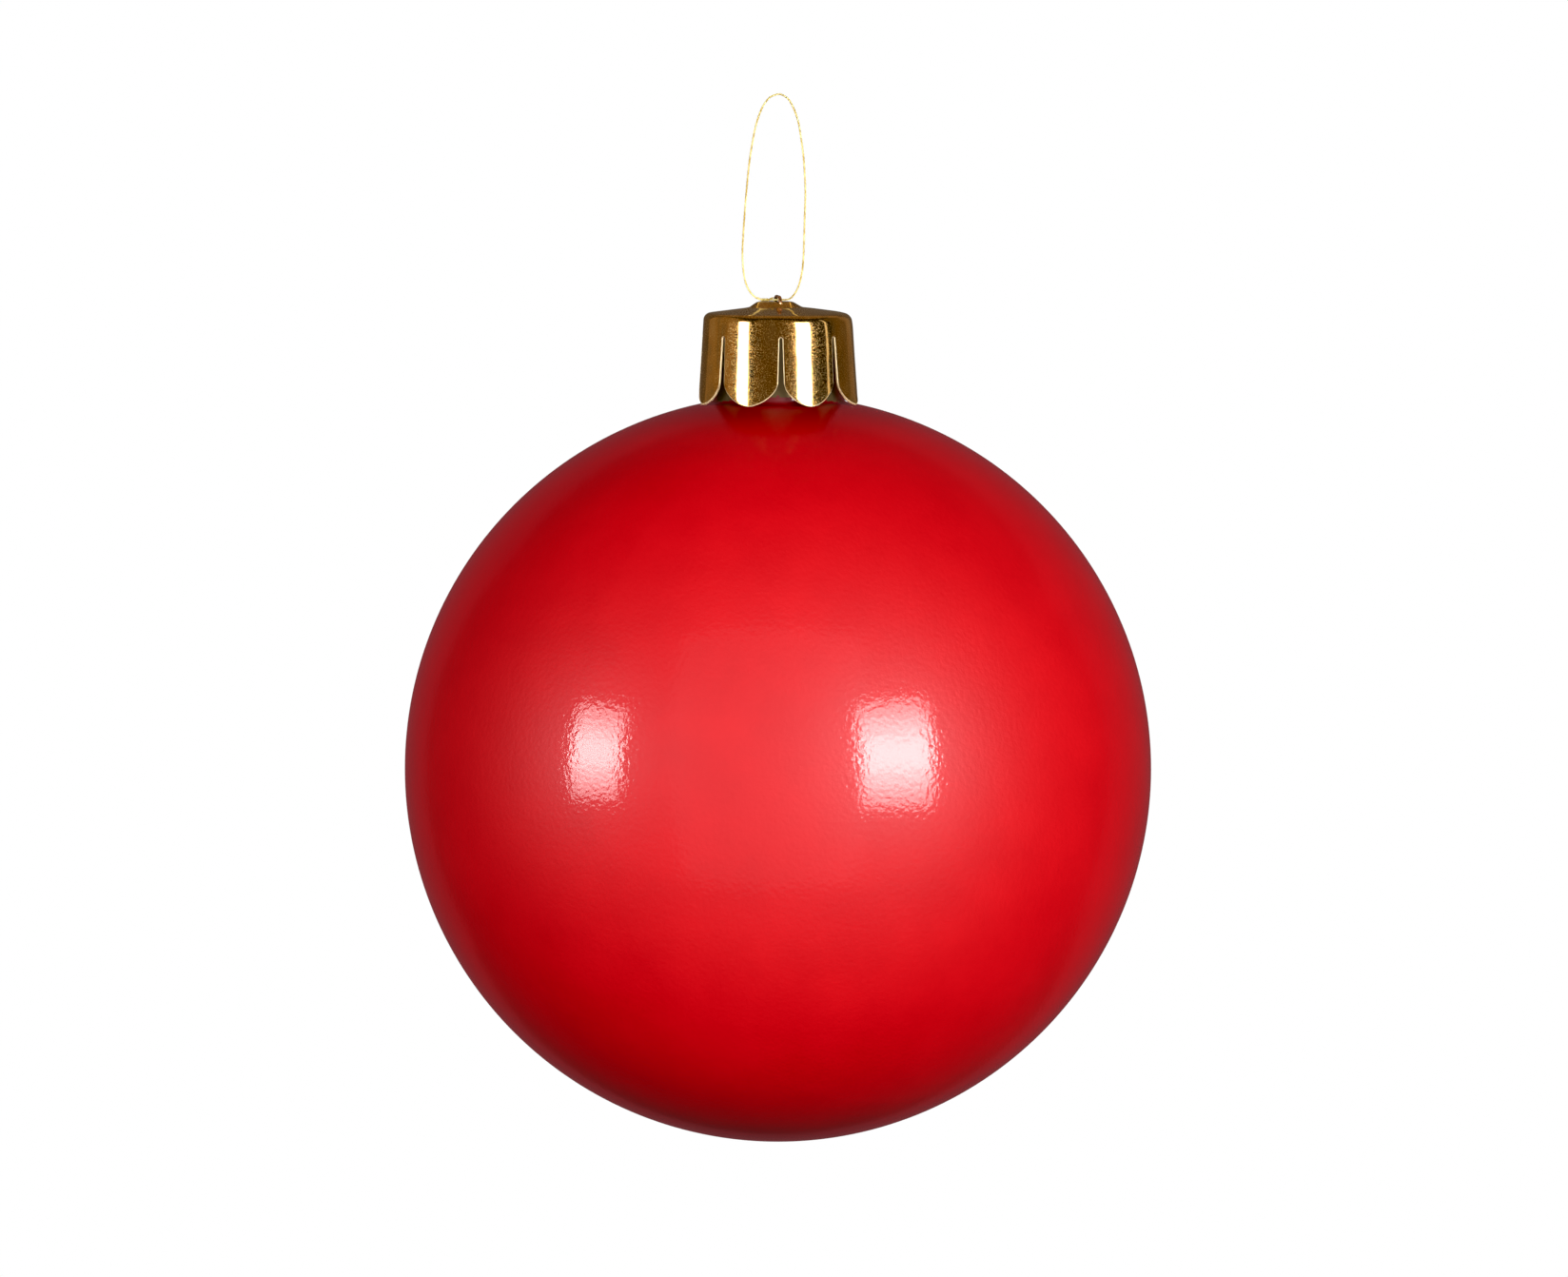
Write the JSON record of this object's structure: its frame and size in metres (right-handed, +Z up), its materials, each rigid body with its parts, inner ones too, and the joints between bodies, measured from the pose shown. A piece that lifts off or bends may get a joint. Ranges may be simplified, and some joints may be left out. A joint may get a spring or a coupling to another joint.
{
  "type": "glass ball ornament",
  "caption": "Red glass ball ornament with a gold petal cap, a spring wire bail and a thread loop to hang it by.",
  "frame": {"origin": "top of the thread loop, where a hook or branch holds it", "axes": "+Z up along the ball's axis, X along the thread through the bail's eye"},
  "size_m": [0.12, 0.12, 0.1685],
  "materials": {
    "red_lacquered_glass": "silvered inside, clear red lacquer outside, satin gloss",
    "gold_lacquered_sheet": "bright stamped sheet under transparent gold lacquer",
    "spring_wire": "bright drawn spring wire",
    "gold_thread": "twisted metallic thread"
  },
  "bodies": {
    "thread": {"hanging_loop": "gold_thread", "knot": "gold_thread"},
    "hanger": {"bail": "spring_wire"},
    "cap": {"cap": "gold_lacquered_sheet"},
    "ball": {"glass_ball": "red_lacquered_glass"}
  },
  "joints": [
    {"name": "swing", "type": "hinge", "parent": "thread", "child": "hanger", "pos_m": [0, 0, -0.033], "axis": [1, 0, 0], "range_deg": [-60, 60]},
    {"name": "bail_draw", "type": "slide", "parent": "hanger", "child": "cap", "axis": [0, 0, -1], "range_m": [0, 0.004], "stiffness_N_per_m": 400, "springref_m": -0.0035, "deforming": ["bail"]},
    {"name": "ball_release", "type": "slide", "parent": "cap", "child": "ball", "axis": [0, 0, -1], "range_m": [0, 0.03], "deforming": ["bail"]}
  ]
}
